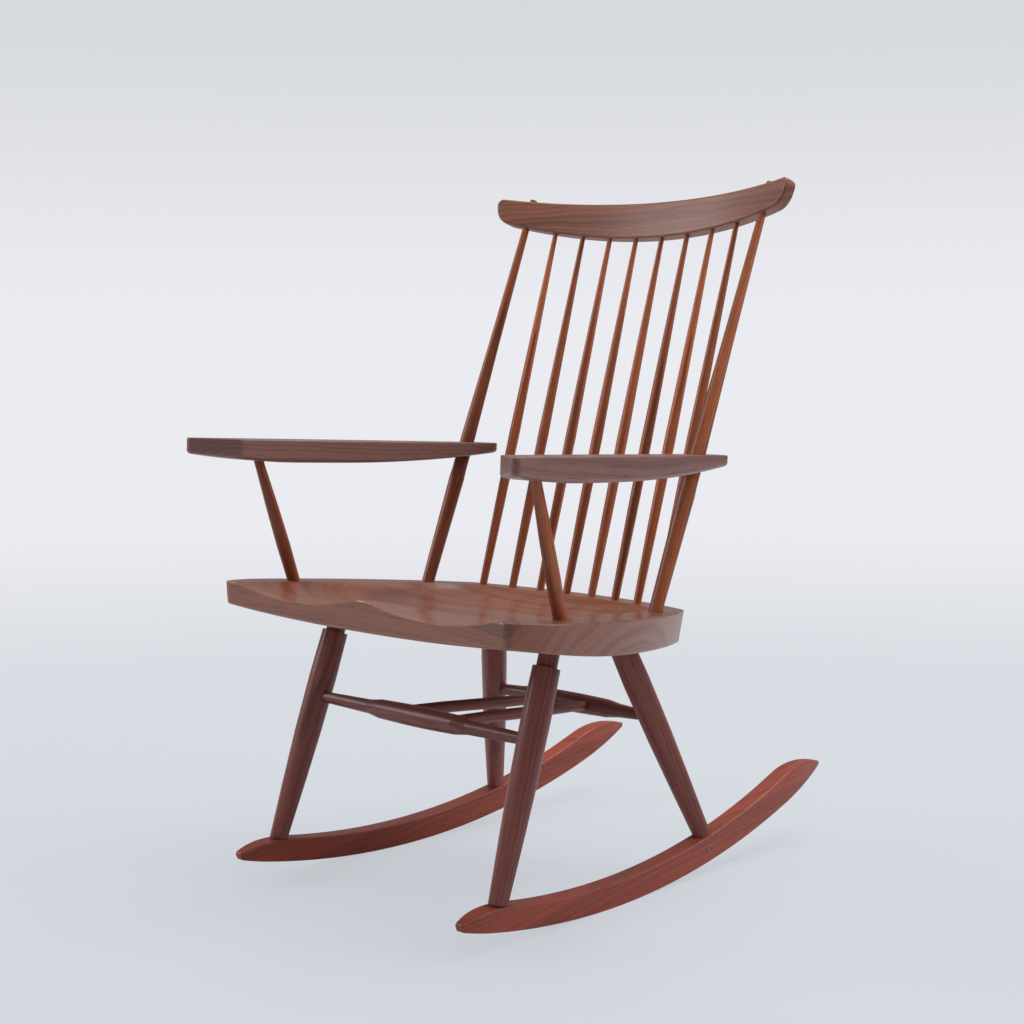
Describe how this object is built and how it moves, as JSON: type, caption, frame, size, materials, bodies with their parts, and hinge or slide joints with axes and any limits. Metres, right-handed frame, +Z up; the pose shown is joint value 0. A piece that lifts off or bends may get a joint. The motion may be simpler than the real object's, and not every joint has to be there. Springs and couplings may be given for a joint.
{
  "type": "rocking chair",
  "caption": "Armchair on curved wooden rockers: scooped plank seat, slender spindle back, bowed crest rail, flat paddle arms and splayed turned legs with cross and medial stretchers.",
  "frame": {"origin": "on the floor, under the middle of the chair's outline, with the chair at rest on its rockers", "axes": "+Z up; the sitter faces -Y; +X is the sitter's left; left and right are mirror images in X"},
  "size_m": [0.6112, 0.7596, 0.931],
  "materials": {
    "seat": "satin oiled",
    "crest_rail": "satin oiled",
    "arm": "satin oiled",
    "leg": "satin oiled",
    "stretcher": "satin oiled",
    "rocker": "satin oiled",
    "spindle": "satin oiled",
    "post": "satin oiled",
    "arm_support": "satin oiled",
    "wedge": "satin oiled"
  },
  "bodies": {
    "root": {"back_stretcher": "stretcher", "crest_rail": "crest_rail", "front_stretcher": "stretcher", "left_arm": "arm", "left_arm_support": "arm_support", "left_back_leg": "leg", "left_front_leg": "leg", "left_medial_stretcher": "stretcher", "left_post": "post", "left_post_wedge": "wedge", "left_rocker": "rocker", "right_arm": "arm", "right_arm_support": "arm_support", "right_back_leg": "leg", "right_front_leg": "leg", "right_medial_stretcher": "stretcher", "right_post": "post", "right_post_wedge": "wedge", "right_rocker": "rocker", "seat": "seat", "spindle_1": "spindle", "spindle_2": "spindle", "spindle_3": "spindle", "spindle_4": "spindle", "spindle_5": "spindle", "spindle_6": "spindle", "spindle_7": "spindle", "spindle_8": "spindle"}
  },
  "joints": []
}
